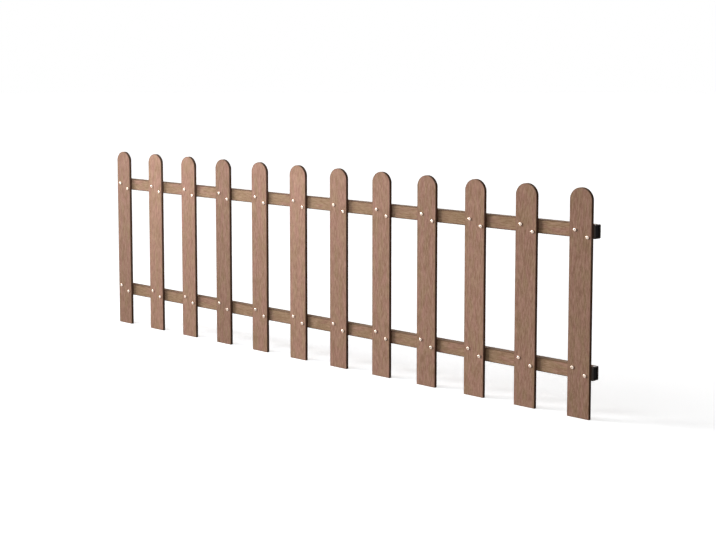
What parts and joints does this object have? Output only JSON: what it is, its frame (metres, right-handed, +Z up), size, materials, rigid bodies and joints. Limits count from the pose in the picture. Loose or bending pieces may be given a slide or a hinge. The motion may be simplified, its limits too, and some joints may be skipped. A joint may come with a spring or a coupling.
{
  "type": "picket fence panel",
  "caption": "Garden fence panel of brown wood-plastic composite: round-topped pickets screwed to hollow rails with plugged ends, for fixing to posts.",
  "frame": {"origin": "centre of the lower rail's back face, the face that is set against a post", "axes": "+X along the fence to the right seen from the front, +Y from the pickets to the back, square to the rails' back faces, +Z up"},
  "size_m": [2.008, 0.035, 0.6],
  "materials": {
    "composite_picket": "brushed brown wood-plastic composite with an upright grain",
    "composite_rail": "brushed brown wood-plastic composite with the grain along the rail",
    "cap_plastic": "black moulded plastic",
    "screw_steel": "bright pan-head steel screws"
  },
  "bodies": {
    "root": {"picket_01": "composite_picket", "picket_02": "composite_picket", "picket_03": "composite_picket", "picket_04": "composite_picket", "picket_05": "composite_picket", "picket_06": "composite_picket", "picket_07": "composite_picket", "picket_08": "composite_picket", "picket_09": "composite_picket", "picket_10": "composite_picket", "picket_11": "composite_picket", "picket_12": "composite_picket", "upper_rail": "composite_rail", "lower_rail": "composite_rail", "upper_rail_left_cap": "cap_plastic", "upper_rail_right_cap": "cap_plastic", "lower_rail_left_cap": "cap_plastic", "lower_rail_right_cap": "cap_plastic"}
  },
  "joints": []
}
